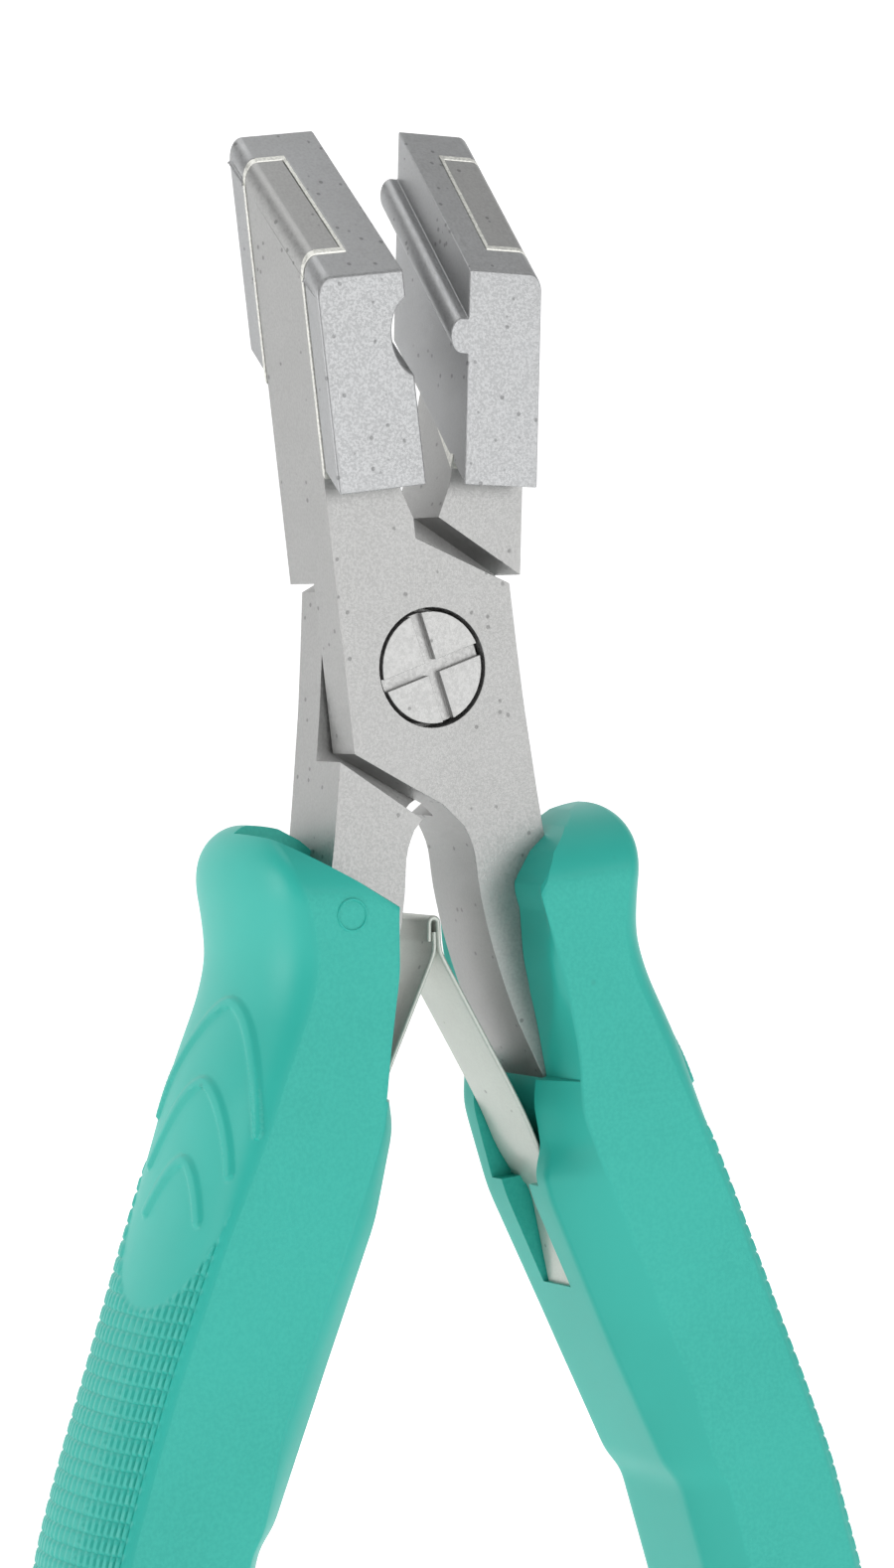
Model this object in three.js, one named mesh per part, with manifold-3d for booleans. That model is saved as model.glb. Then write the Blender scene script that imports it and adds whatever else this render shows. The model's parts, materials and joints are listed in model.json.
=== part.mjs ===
// Flat nose pliers with wide angled forming jaws, a lap joint on one screw, cushioned grips and a
// pair of leaf springs. Millimetres. +Z is up towards the jaws, +X is to the right, and +Y points
// away from the side that shows the screw head. Each half is drawn about the pivot with the tool
// closed, then turned out to the resting, sprung-open pose.
import * as THREE from 'three';
import { ParametricGeometry } from 'three/addons/geometries/ParametricGeometry.js';
import { mergeVertices } from 'three/addons/utils/BufferGeometryUtils.js';
import Module from 'manifold-3d';

const wasm = await Module();
wasm.setup();

// Driving dimensions
const REST_HALF_ANGLE = 0.076; // each half stands this far open at rest, radians
const HALF_WIDTH = 7.0; // joint, from the pivot to either edge
const THICKNESS = 7.0; // steel bar, front to back
const LAP_CLEARANCE = 0.3; // between the two lap plates
const FIT_GAP = 0.3; // between a fitted piece and the piece that holds it

const JAW_SLANT = THREE.MathUtils.degToRad(44); // tips rise towards the back
const JAW_DEPTH = 11.24; // front to back across a forming block
const JAW_FOOT = 13.0; // front bottom edge of a block, above the pivot
const JAW_TIP = 28.2; // front top edge of a block, above the pivot
const RIGHT_FACE_OFFSET = 1.1; // room left for the wire between the closed faces
const RIB_HEIGHT = 23.5; // rib and groove, above the pivot at the front face
const GROOVE_RADIUS = 2.05;
const GROOVE_DEPTH = 1.45;
const RIB_RADIUS = 0.9;
const RIB_REACH = 1.4;

const SCREW_HEAD_RADIUS = 4.0;
const SCREW_HEAD_DEPTH = 2.2;
const SCREW_SHANK_RADIUS = 2.6;
const SCREW_SLOT_WIDTH = 0.9;
const SCREW_SLOT_DEPTH = 0.5;
const SCREW_SLOT_TURN = THREE.MathUtils.degToRad(21);

const LEAF_THICKNESS = 0.4;
const LEAF_WIDTH = 6.4;
const LEAF_ROOT_X = 8.0; // where each leaf leaves its handle, at rest
const LEAF_ROOT_Z = -35.5;
const LEAF_TIP_X = -0.5; // where the two leaves meet, at rest
const LEAF_TIP_Z = -19.6;
const HOOK_RADIUS = 0.8;
const RIVET_RADIUS = 1.3;
const RIVET_HEAD = 0.5;

const GRIP_HALF_DEPTH = 8.0; // at the top, front to back
const GRIP_TAIL_HALF_DEPTH = 7.0; // lower down
const GRIP_TOP = -10.9;
const GRIP_BOTTOM = -109.0;
const PAD_HALF_WIDTH = 5.0; // flat inner pad, front to back

const TANG_END = -98.0; // lower end of the steel inside each grip
const PAD_TOP = -30.6; // where the open mouth of a grip ends and its flat pad begins

const ROUND_STEPS = 48;
const EDGE_STEPS = 40; // straight pieces along each curved edge of a tang
const slantRise = Math.tan(JAW_SLANT);

// Materials

function finish(color, roughness, metalness) {
  return new THREE.MeshStandardMaterial({ color, roughness, metalness });
}

const blastedSteel = finish(0xbcbcbc, 0.5, 1.0);
const jawSteel = finish(0xb8b8b8, 0.48, 1.0);
const screwSteel = finish(0xc4c4c4, 0.42, 1.0);
const springSteel = finish(0xc6ccc4, 0.32, 1.0);
const tealRubber = finish(0x42b7ac, 0.55, 0.0);

// Solids and meshes

function solidOf(geometry) {
  const bare = geometry.clone();
  bare.deleteAttribute('normal');
  bare.deleteAttribute('uv');
  const merged = mergeVertices(bare, 1e-4);
  const corners = merged.index.array;
  const faces = [];
  for (let i = 0; i < corners.length; i += 3) {
    const [a, b, c] = [corners[i], corners[i + 1], corners[i + 2]];
    if (a !== b && b !== c && c !== a) faces.push(a, b, c);
  }
  const vertProperties = merged.attributes.position.array;
  const triVerts = Uint32Array.from(faces);
  return new wasm.Manifold(new wasm.Mesh({ numProp: 3, vertProperties, triVerts }));
}

function namedMesh(name, solid, material) {
  const { vertProperties, triVerts } = solid.getMesh();
  const geometry = new THREE.BufferGeometry();
  geometry.setAttribute('position', new THREE.BufferAttribute(new Float32Array(vertProperties), 3));
  geometry.setIndex(new THREE.BufferAttribute(new Uint32Array(triVerts), 1));
  geometry.computeVertexNormals();
  const mesh = new THREE.Mesh(geometry, material);
  mesh.name = name;
  return mesh;
}

// A smooth curve through the given points, as short straight pieces.
function smoothed(points) {
  const curve = new THREE.SplineCurve(points.map(([x, y]) => new THREE.Vector2(x, y)));
  return curve.getPoints(EDGE_STEPS).map(({ x, y }) => [x, y]);
}

function shapeOf(points) {
  return new THREE.Shape(points.map(([x, y]) => new THREE.Vector2(x, y)));
}

// A plate whose outline lies in X and Z and which fills the space from front to back in Y.
function plate(outline, front, back) {
  const geometry = new THREE.ExtrudeGeometry(shapeOf(outline), {
    depth: back - front,
    bevelEnabled: false,
  });
  geometry.rotateX(Math.PI / 2);
  geometry.translate(0, back, 0);
  return solidOf(geometry);
}

// A bar whose outline lies in Y and Z and which fills the space from left to right in X.
function crossBar(outline, left, right) {
  const geometry = new THREE.ExtrudeGeometry(shapeOf(outline), {
    depth: right - left,
    bevelEnabled: false,
  });
  geometry.rotateX(Math.PI / 2);
  geometry.rotateZ(Math.PI / 2);
  geometry.translate(left, 0, 0);
  return solidOf(geometry);
}

function pinAlongY(radius, front, back) {
  const geometry = new THREE.CylinderGeometry(radius, radius, back - front, ROUND_STEPS);
  geometry.translate(0, (front + back) / 2, 0);
  return solidOf(geometry);
}

// Turned half a turn about Z, so that the front of one half becomes the back of the other.
function flipped(solid) {
  return solid.rotate([0, 0, 180]);
}

// Steel halves

const armInnerEdge = [[-0.2, 10.75], [-1.0, 13.0], [-3.7, 28.0], [-3.9, 40.0]];
const tangOuterEdge = smoothed([
  [HALF_WIDTH, 5.2], [7.05, -0.6], [7.2, -5.4], [7.75, -14.6], [8.9, -22.0],
  [11.0, -32.0], [14.2, -44.0], [17.8, -58.0], [20.8, -74.0], [22.3, -88.0], [22.6, TANG_END],
]);
const tangInnerEdge = smoothed([
  [19.6, TANG_END], [19.2, -84.0], [17.2, -70.0], [14.0, -57.0], [9.9, -44.0], [7.3, -36.0],
  [5.35, -30.4], [3.6, -25.6], [2.4, -20.6], [1.85, -16.6], [1.72, -13.4], [1.16, -11.6],
]);
const lapLowerEdge = [[-0.38, -9.8], [-2.8, -8.2], [-HALF_WIDTH, -5.3]];

// The bar's face outline: jaw arm at the top left, lap plate in the middle, tang at the lower right.
function barOutline() {
  const arm = [[-HALF_WIDTH, 40.0], ...[...armInnerEdge].reverse(), [-0.2, 9.3]];
  return [...arm, ...tangOuterEdge, ...tangInnerEdge, ...lapLowerEdge].reverse();
}

// The space behind a lap plate, between the arm's shoulder and the tang's shoulder.
function lapRecess() {
  const shoulders = [[-12.0, 4.0], [-12.0, -18.2], [9.0, -5.84], [9.0, 15.95]];
  return plate(shoulders, -LAP_CLEARANCE / 2, THICKNESS);
}

function bar() {
  return plate(barOutline(), -THICKNESS / 2, THICKNESS / 2).subtract(lapRecess());
}

// Everything above the slanted plane that the jaw tips end on.
function aboveTips() {
  const rise = (y) => JAW_TIP + slantRise * (y + JAW_DEPTH / 2);
  return crossBar([[-10, rise(-10)], [10, rise(10)], [10, 60], [-10, 60]], -20, 20);
}

// The hole that the screw's shank runs through, in both plates.
function shankHole() {
  return pinAlongY(SCREW_SHANK_RADIUS + FIT_GAP, -THICKNESS, THICKNESS);
}

function frontHalfSolid() {
  const seatFloor = -THICKNESS / 2 + SCREW_HEAD_DEPTH + FIT_GAP;
  const headSeat = pinAlongY(SCREW_HEAD_RADIUS + FIT_GAP, -THICKNESS, seatFloor);
  return bar().subtract(aboveTips()).subtract(headSeat).subtract(shankHole());
}

function backHalfSolid() {
  return flipped(bar()).subtract(aboveTips()).subtract(shankHole());
}

// Forming blocks

function blockProfile(margin = 0) {
  const half = JAW_DEPTH / 2;
  const rise = slantRise * JAW_DEPTH;
  return [
    [-half, JAW_FOOT - margin], [half, JAW_FOOT + rise - margin],
    [half, JAW_TIP + rise + margin], [-half, JAW_TIP + margin],
  ];
}

// The socket that an arm is brazed into, a gap wider than the arm on every side.
function armSocket(side) {
  const outline = [
    [-HALF_WIDTH - 3, 9.0], [-0.7 + FIT_GAP, 9.0], [-1.0 + FIT_GAP, 13.0], [-3.7 + FIT_GAP, 28.0],
    [-3.9 + FIT_GAP, 45.0], [-HALF_WIDTH - 3, 45.0],
  ];
  const socket = plate(outline, -THICKNESS / 2 - FIT_GAP, THICKNESS / 2 + FIT_GAP);
  return side === 'left' ? socket : flipped(socket);
}

// A round bar that runs through the block along the slant, centred at a height on the front face.
function slantedRod(radius, x) {
  const rod = new THREE.CylinderGeometry(radius, radius, 3 * JAW_DEPTH, ROUND_STEPS);
  rod.rotateX(JAW_SLANT);
  rod.translate(x, 0, RIB_HEIGHT + slantRise * JAW_DEPTH / 2);
  return solidOf(rod);
}

function leftBlockSolid() {
  const block = crossBar(blockProfile(), -HALF_WIDTH, 0);
  const groove = slantedRod(GROOVE_RADIUS, GROOVE_RADIUS - GROOVE_DEPTH);
  return block.subtract(armSocket('left')).subtract(groove);
}

function rightBlockSolid() {
  const block = crossBar(blockProfile(), RIGHT_FACE_OFFSET, HALF_WIDTH);
  const web = new THREE.BoxGeometry(RIB_REACH, 3 * JAW_DEPTH, 2 * RIB_RADIUS);
  web.rotateX(JAW_SLANT);
  const noseX = RIGHT_FACE_OFFSET - RIB_REACH + RIB_RADIUS;
  web.translate(noseX + RIB_REACH / 2, 0, RIB_HEIGHT + slantRise * JAW_DEPTH / 2);
  const envelope = crossBar(blockProfile(), -HALF_WIDTH, HALF_WIDTH);
  const rib = slantedRod(RIB_RADIUS, noseX).add(solidOf(web)).intersect(envelope);
  return block.add(rib).subtract(armSocket('right'));
}

// Pivot screw: flush cheese head in the front plate, shank through the back plate.
function pivotScrewSolid() {
  const face = -THICKNESS / 2 + 0.05;
  const head = pinAlongY(SCREW_HEAD_RADIUS, face, face + SCREW_HEAD_DEPTH);
  const shank = pinAlongY(SCREW_SHANK_RADIUS, face + SCREW_HEAD_DEPTH / 2, THICKNESS / 2 - 0.05);
  let screw = head.add(shank);
  for (const turn of [SCREW_SLOT_TURN, SCREW_SLOT_TURN + Math.PI / 2]) {
    const reach = 3 * SCREW_HEAD_RADIUS;
    const slot = new THREE.BoxGeometry(reach, 2 * SCREW_SLOT_DEPTH, SCREW_SLOT_WIDTH);
    slot.rotateY(-turn);
    slot.translate(0, face, 0);
    screw = screw.subtract(solidOf(slot));
  }
  return screw;
}

// Grips

// Straight or smooth interpolation of one grip dimension over height, from [height, value] pairs
// listed from the top down.
function profile(points, smooth = false) {
  return (z) => {
    const last = points.length - 1;
    let i = 0;
    while (i < last - 1 && z < points[i + 1][0]) i += 1;
    const [z0, v0] = points[i];
    const [z1, v1] = points[i + 1];
    const t = THREE.MathUtils.clamp((z - z0) / (z1 - z0), 0, 1);
    if (!smooth) return v0 + (v1 - v0) * t;
    const slopeAt = (k) => {
      if (k <= 0 || k >= last) return 0;
      return (points[k + 1][1] - points[k - 1][1]) / (points[k + 1][0] - points[k - 1][0]);
    };
    const span = z1 - z0;
    const [t2, t3] = [t * t, t * t * t];
    return (2 * t3 - 3 * t2 + 1) * v0 + (t3 - 2 * t2 + t) * span * slopeAt(i)
      + (3 * t2 - 2 * t3) * v1 + (t3 - t2) * span * slopeAt(i + 1);
  };
}

const faceEdge = profile([
  [-10, 13.5], [-13, 13.4], [-16, 12.4], [-18.5, 11.2], [-21, 10.5], [-24, 11.1], [-28, 12.6],
  [-33, 14.3], [-40.5, 17.2], [-49, 19.9], [-56, 22.0], [-62, 23.6], [-71, 25.2], [-80, 26.2],
  [-90, 26.7], [-100, 26.3], [-110, 25.0],
], true);
const sideBulge = profile([[-12, 2.4], [-20, 3.5], [-30, 3.5], [-40, 2.2], [-110, 2.0]], true);
const halfDepth = profile([
  [-10, GRIP_HALF_DEPTH], [-33, GRIP_HALF_DEPTH], [-50, GRIP_TAIL_HALF_DEPTH],
  [-110, GRIP_TAIL_HALF_DEPTH],
]);
const frontCheek = profile([
  [-10, 4.0], [-17, 4.2], [-22.8, 5.5], [-28.4, 6.0], [-33, 5.8], [-38, 7.4], [-44.5, 9.6],
  [-54, 12.8], [-60.8, 14.2], [-61.8, 15.0], [-68.7, 16.1], [-80, 18.2], [-90, 19.6], [-110, 21.0],
]);
const backCheek = profile([
  [-10, 4.2], [-17, 4.5], [-21.6, 4.3], [-27, 4.9], [-31, 5.2], [-33, 5.6], [-38, 7.4],
  [-44.5, 9.6], [-54, 12.8], [-60.8, 14.2], [-61.8, 15.0], [-68.7, 16.1], [-80, 18.2],
  [-90, 19.6], [-110, 21.0],
]);
const padFace = profile([
  [PAD_TOP, 4.6], [-31.0, 3.4], [-32.7, 3.1], [-37, 3.8], [-39.3, 4.2], [-51.5, 8.3], [-60.8, 11.6],
  [-61.8, 12.6], [-70, 14.1], [-80, 15.8], [-90, 17.2], [-110, 19.4],
]);

const gripLevels = [
  GRIP_TOP, -11.1, -11.7, -12.6, -13.6, -14.6, -16, -17.5, -19, -21, -23, -25.5, -28, PAD_TOP, -31,
  -32.7, -35, -37, -39.3, -42, -45, -48, -51.5, -56, -60.8, -61.8, -66, -70, -75, -80, -85, -90,
  -95, -100, -104, -106.5, -108.2, GRIP_BOTTOM,
];
const BULGE_STEPS = 12;
const CROWN_CENTRE_X = 11.0;
const CROWN_HEIGHT = 3.7;
const TAIL_CENTRE_X = 22.9;
const TAIL_HEIGHT = 5.5;
const END_DEPTH_SHARE = 0.35; // how much of its depth a grip keeps at its rounded ends

// The point that the ends round off towards: over the crown at the top, over the tail below.
function centreAt(z) {
  return z > -60 ? CROWN_CENTRE_X : TAIL_CENTRE_X;
}

// How much of its full section the grip has at a height: it rounds off at the crown and the tail.
function roundingAt(z) {
  const fromTop = Math.min((GRIP_TOP - z) / CROWN_HEIGHT, 1);
  const fromBottom = Math.min((z - GRIP_BOTTOM) / TAIL_HEIGHT, 1);
  const nearer = Math.min(fromTop, fromBottom);
  return Math.sqrt(Math.max(1 - (1 - nearer) ** 2, 0));
}

// The section of the right-hand grip at a height, as [x, y] points in order round its edge.
function gripSection(z) {
  const depth = halfDepth(z);
  const isOpen = z >= PAD_TOP;
  const inner = isOpen ? Math.min(frontCheek(z), backCheek(z)) : padFace(z);
  const padHalf = isOpen ? depth - 0.6 : PAD_HALF_WIDTH * depth / GRIP_HALF_DEPTH;
  const points = [[inner, padHalf], [inner, -padHalf], [frontCheek(z), -depth]];
  for (let i = 0; i <= BULGE_STEPS; i += 1) {
    const turn = Math.PI * (i / BULGE_STEPS - 0.5);
    points.push([faceEdge(z) + sideBulge(z) * Math.cos(turn), depth * Math.sin(turn)]);
  }
  points.push([backCheek(z), depth]);
  const scale = roundingAt(z);
  const depthScale = END_DEPTH_SHARE + (1 - END_DEPTH_SHARE) * scale;
  const centreX = centreAt(z);
  return points.reverse().map(([x, y]) => [centreX + (x - centreX) * scale, y * depthScale]);
}

function gripBody() {
  const sides = gripSection(-50).length;
  const stacks = gripLevels.length + 1;
  const surface = (u, v, target) => {
    const row = Math.round(v * stacks) - 1;
    const level = THREE.MathUtils.clamp(row, 0, gripLevels.length - 1);
    const z = gripLevels[level];
    const isCap = row < 0 || row >= gripLevels.length;
    const [x, y] = gripSection(z)[Math.round(u * sides) % sides];
    target.set(isCap ? centreAt(z) : x, isCap ? 0 : y, z);
  };
  return solidOf(new ParametricGeometry(surface, sides, stacks));
}

// The sloping rims where the front and back cheeks stop against the bare steel.
function rimCuts() {
  const front = [
    [-2, -8], [-2, -16.8], [4.0, -16.8], [6.3, -14.1], [8.6, -12.5], [11, -11.4], [11, -8],
  ];
  const back = [[-2, -8], [-2, -16.8], [4.6, -16.8], [13.1, -12.3], [13.1, -8]];
  return plate(front, -20, 0).add(plate(back, 0, 20));
}

// The tang's own outline grown by the fitting gap, from the top of the grip to its closed end.
function tangSocket() {
  const outer = tangOuterEdge.map(([x, z]) => [x + FIT_GAP, z]);
  const inner = tangInnerEdge.map(([x, z]) => [x - FIT_GAP, z]);
  const end = TANG_END - FIT_GAP;
  const lowerEnd = [[outer.at(-1)[0], end], [inner[0][0], end]];
  const top = [[0, -11.6], [0, 5.2]];
  const outline = [...outer.slice(0, -1), ...lowerEnd, ...inner.slice(1), ...top];
  return plate(outline.reverse(), -THICKNESS / 2 - FIT_GAP, THICKNESS / 2 + FIT_GAP);
}

// The mouth between the cheeks, and the slot in the pad that the leaf spring comes out of.
function springMouth() {
  const reach = THICKNESS / 2 + FIT_GAP;
  const opening = [[-2, -5], [-2, PAD_TOP], [5.35, PAD_TOP], [3.5, -24], [3, -5]];
  const mouth = plate(opening, -reach, reach);
  const slotHalf = LEAF_WIDTH / 2 + 0.4;
  const slot = [
    [0, -29], [0, -46.4], [10.6, -46.4], [8.0, -38.0], [7.1, -35.4], [6.0, -34.2], [5.2, -30.0],
  ];
  return mouth.add(plate(slot, -slotHalf, slotHalf));
}

function rightGripSolid() {
  return gripBody().subtract(rimCuts()).subtract(tangSocket()).subtract(springMouth());
}

// Leaf springs, drawn at rest

function leafDirection(side) {
  const root = new THREE.Vector2(side * LEAF_ROOT_X, LEAF_ROOT_Z);
  return new THREE.Vector2(LEAF_TIP_X, LEAF_TIP_Z).sub(root).normalize();
}

// A strip of spring steel that follows a path in X and Z.
function strip(path) {
  const half = LEAF_THICKNESS / 2;
  const sides = [[], []];
  path.forEach((point, i) => {
    const before = path[Math.max(i - 1, 0)];
    const after = path[Math.min(i + 1, path.length - 1)];
    const along = after.clone().sub(before).normalize();
    const across = new THREE.Vector2(-along.y, along.x).multiplyScalar(half);
    sides[0].push(point.clone().add(across).toArray());
    sides[1].push(point.clone().sub(across).toArray());
  });
  return plate([...sides[0], ...sides[1].reverse()].reverse(), -LEAF_WIDTH / 2, LEAF_WIDTH / 2);
}

// The foot turns in behind the pad and lies along the tang, clear of it.
function leafFoot(side) {
  return [[11.3, -42.0], [9.9, -38.6], [9.1, -37.1]].map(([x, z]) => new THREE.Vector2(side * x, z));
}

function leftLeafSolid() {
  const root = new THREE.Vector2(-LEAF_ROOT_X, LEAF_ROOT_Z);
  const tip = new THREE.Vector2(LEAF_TIP_X, LEAF_TIP_Z);
  return strip([...leafFoot(-1), root, tip]);
}

// The right leaf ends in a hook that closes over the left leaf's tip.
function rightLeafSolid() {
  const tip = new THREE.Vector2(LEAF_TIP_X, LEAF_TIP_Z);
  const lean = Math.atan2(LEAF_ROOT_X - LEAF_TIP_X, LEAF_TIP_Z - LEAF_ROOT_Z);
  const path = [...leafFoot(1), new THREE.Vector2(LEAF_ROOT_X, LEAF_ROOT_Z)];
  const steps = 8;
  for (let i = 0; i <= steps; i += 1) {
    const turn = lean + (Math.PI - lean) * (i / steps);
    path.push(new THREE.Vector2(Math.cos(turn), Math.sin(turn)).multiplyScalar(HOOK_RADIUS).add(tip));
  }
  return strip(path);
}

// A short rivet whose head stands off the tang's inner face and holds the leaf's foot.
function springRivetSolid() {
  const [top, bottom] = [new THREE.Vector2(8.95, -41.0), new THREE.Vector2(8.0, -38.1)];
  const along = top.clone().sub(bottom).normalize();
  const [crown, sides] = [RIVET_RADIUS * 0.7, ROUND_STEPS / 2];
  const head = new THREE.CylinderGeometry(crown, RIVET_RADIUS, RIVET_HEAD, sides);
  head.rotateZ(Math.PI / 2);
  head.rotateY(-Math.atan2(along.x, -along.y));
  const centre = top.clone().add(bottom).multiplyScalar(0.5);
  head.translate(centre.x - 0.55, 0, centre.y);
  return solidOf(head);
}

// Assembly

const frontHalf = new THREE.Group();
frontHalf.rotation.y = -REST_HALF_ANGLE;
frontHalf.add(
  namedMesh('front_half', frontHalfSolid(), blastedSteel),
  namedMesh('left_jaw_block', leftBlockSolid(), jawSteel),
  namedMesh('right_grip', rightGripSolid(), tealRubber),
  namedMesh('right_spring_rivet', springRivetSolid(), screwSteel),
);

const backHalf = new THREE.Group();
backHalf.rotation.y = REST_HALF_ANGLE;
backHalf.add(
  namedMesh('back_half', backHalfSolid(), blastedSteel),
  namedMesh('right_jaw_block', rightBlockSolid(), jawSteel),
  namedMesh('pivot_screw', pivotScrewSolid(), screwSteel),
  namedMesh('left_grip', flipped(rightGripSolid()), tealRubber),
  namedMesh('left_spring_rivet', flipped(springRivetSolid()), screwSteel),
);

const springs = new THREE.Group();
springs.add(
  namedMesh('left_leaf_spring', leftLeafSolid(), springSteel),
  namedMesh('right_leaf_spring', rightLeafSolid(), springSteel),
);

const pliers = new THREE.Group();
pliers.add(frontHalf, backHalf, springs);
pliers.updateMatrixWorld(true);
pliers.position.z = -new THREE.Box3().setFromObject(pliers, true).min.z;

export default pliers;
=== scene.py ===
"""Looks of the flat nose pliers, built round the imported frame.

Lengths are millimetres about the pivot unless a name says otherwise. Each half of the tool is drawn
closed, then turned out to rest, so that the numbers read like a maker's drawing. Meshes are metres.
"""
import json
import logging
import math
from dataclasses import dataclass
from enum import Enum
from typing import Sequence

import bmesh
import bpy
import numpy as np
from mathutils import Matrix, Vector


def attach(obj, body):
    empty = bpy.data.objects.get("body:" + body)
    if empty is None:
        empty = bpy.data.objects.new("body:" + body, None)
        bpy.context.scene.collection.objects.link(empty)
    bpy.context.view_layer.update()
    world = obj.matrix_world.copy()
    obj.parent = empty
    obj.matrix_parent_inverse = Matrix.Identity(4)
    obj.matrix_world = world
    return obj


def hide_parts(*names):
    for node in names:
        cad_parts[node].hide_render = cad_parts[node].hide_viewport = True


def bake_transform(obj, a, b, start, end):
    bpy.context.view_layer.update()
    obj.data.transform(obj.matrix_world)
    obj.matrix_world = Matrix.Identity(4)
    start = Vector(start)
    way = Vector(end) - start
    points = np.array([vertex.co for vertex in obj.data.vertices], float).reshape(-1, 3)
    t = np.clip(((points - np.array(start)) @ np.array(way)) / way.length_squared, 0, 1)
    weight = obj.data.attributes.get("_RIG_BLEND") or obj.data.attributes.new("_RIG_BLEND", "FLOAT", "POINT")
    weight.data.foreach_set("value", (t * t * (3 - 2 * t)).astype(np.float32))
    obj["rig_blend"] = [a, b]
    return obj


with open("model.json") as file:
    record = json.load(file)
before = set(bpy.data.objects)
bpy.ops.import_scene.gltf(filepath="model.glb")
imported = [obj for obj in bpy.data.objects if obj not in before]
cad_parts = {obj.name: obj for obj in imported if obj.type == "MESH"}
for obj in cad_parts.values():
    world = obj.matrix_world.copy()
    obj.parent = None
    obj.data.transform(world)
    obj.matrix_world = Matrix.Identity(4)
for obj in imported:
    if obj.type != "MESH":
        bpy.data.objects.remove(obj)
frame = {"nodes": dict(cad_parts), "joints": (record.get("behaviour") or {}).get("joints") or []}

LOG = logging.getLogger("pliers")
MM = 0.001
PIVOT = np.array(frame["joints"][0]["pos_m"], float)
REST_HALF_ANGLE = 0.076
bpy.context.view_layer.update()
HALF_TURN = math.pi
WHOLE_TURN = 2 * math.pi

Table = Sequence[tuple[float, float]]
Value = float | tuple[float, ...] | bpy.types.NodeSocket


class Body(Enum):
    """The moving bodies of the frame, by their names in it."""

    FRONT = "front_half"
    BACK = "back_half"
    RIGHT_LEAF = "right_leaf"
    LEFT_LEAF = "left_leaf"


class Slot(Enum):
    """The record's material slots."""

    BAR = "bar_steel"
    JAW = "jaw_steel"
    SCREW = "screw_steel"
    SPRING = "spring_steel"
    GRIP = "grip_rubber"


class Cut(Enum):
    """What one solid does to another."""

    REMOVE = "DIFFERENCE"
    KEEP = "INTERSECT"


# Geometry helpers


def at_rest(points: np.ndarray, body: Body, flip: bool = False) -> np.ndarray:
    """Turn points of a closed half out to rest and lift them to the pivot.

    Args:
        points: millimetres about the pivot, shape (..., 3).
        body: FRONT or BACK, the half that they belong to.
        flip: draw them half a turn round Z first, as the other half's twin.

    Returns:
        The points in metres in the part's frame.
    """
    turn = -REST_HALF_ANGLE if body is Body.FRONT else REST_HALF_ANGLE
    sign = -1.0 if flip else 1.0
    x, y, z = sign * points[..., 0], sign * points[..., 1], points[..., 2]
    c, s = math.cos(turn), math.sin(turn)
    return np.stack([x * c + z * s, y, z * c - x * s], -1) * MM + PIVOT


def smoothstep(low: float, high: float, value: np.ndarray) -> np.ndarray:
    """Rise smoothly between two values.

    Args:
        low: value where the result is 0.
        high: value where it is 1; it may be the smaller of the two.
        value: what is read.

    Returns:
        3 t squared less 2 t cubed, where t runs from 0 at low to 1 at high.
    """
    t = np.clip((value - low) / (high - low), 0.0, 1.0)
    return t * t * (3.0 - 2.0 * t)


def put_mesh(name: str, points: np.ndarray, faces: list[list[int]]) -> bpy.types.Object:
    """Make an object from points in metres and faces, with its faces turned outwards.

    Args:
        name: the piece's name.
        points: shape (n, 3), metres in the part's frame.
        faces: lists of point numbers.

    Returns:
        The new object, at the origin.
    """
    mesh = bpy.data.meshes.new(name)
    mesh.from_pydata(points.reshape(-1, 3).tolist(), [], faces)
    work = bmesh.new()
    work.from_mesh(mesh)
    bmesh.ops.recalc_face_normals(work, faces=work.faces)
    work.to_mesh(mesh)
    work.free()
    piece = bpy.data.objects.new(name, mesh)
    bpy.context.scene.collection.objects.link(piece)
    return piece


def loft(name: str, rings: np.ndarray, poles: np.ndarray | None = None) -> bpy.types.Object:
    """Skin closed rings into one closed solid.

    Point (i, j) of the grid joins (i + 1, j) and (i, j + 1), counted round the ring. Each end is
    closed by a fan to its pole, or by one flat face where there are no poles.

    Args:
        name: the piece's name.
        rings: shape (rings, points, 3), metres.
        poles: shape (2, 3), the first and the last pole.

    Returns:
        The solid's object.
    """
    rows, cols = rings.shape[:2]
    grid = np.arange(rows * cols).reshape(rows, cols)
    ahead = np.roll(grid, -1, axis=1)
    quads = np.stack([grid[:-1], ahead[:-1], ahead[1:], grid[1:]], -1).reshape(-1, 4)
    faces = quads.tolist()
    points = rings.reshape(-1, 3)
    if poles is None:
        faces += [grid[0][::-1].tolist(), grid[-1].tolist()]
    else:
        first = np.stack([ahead[0], grid[0], np.full(cols, rows * cols)], -1)
        last = np.stack([grid[-1], ahead[-1], np.full(cols, rows * cols + 1)], -1)
        faces += first.tolist() + last.tolist()
        points = np.vstack([points, poles])
    return put_mesh(name, points, faces)


def combine(target: bpy.types.Object, tool: bpy.types.Object, cut: Cut) -> None:
    """Cut target with tool, keep the result as target's mesh and remove the tool.

    Args:
        target: the closed mesh that is cut.
        tool: the closed mesh that cuts it.
        cut: whether the tool's inside is removed or kept.
    """
    modifier = target.modifiers.new("cut", "BOOLEAN")
    modifier.operation = cut.value
    modifier.solver = "MANIFOLD"
    modifier.object = tool
    bpy.context.view_layer.update()
    graph = bpy.context.evaluated_depsgraph_get()
    result = bpy.data.meshes.new_from_object(target.evaluated_get(graph))
    target.modifiers.clear()
    target.data = result
    bpy.data.objects.remove(tool)


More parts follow.
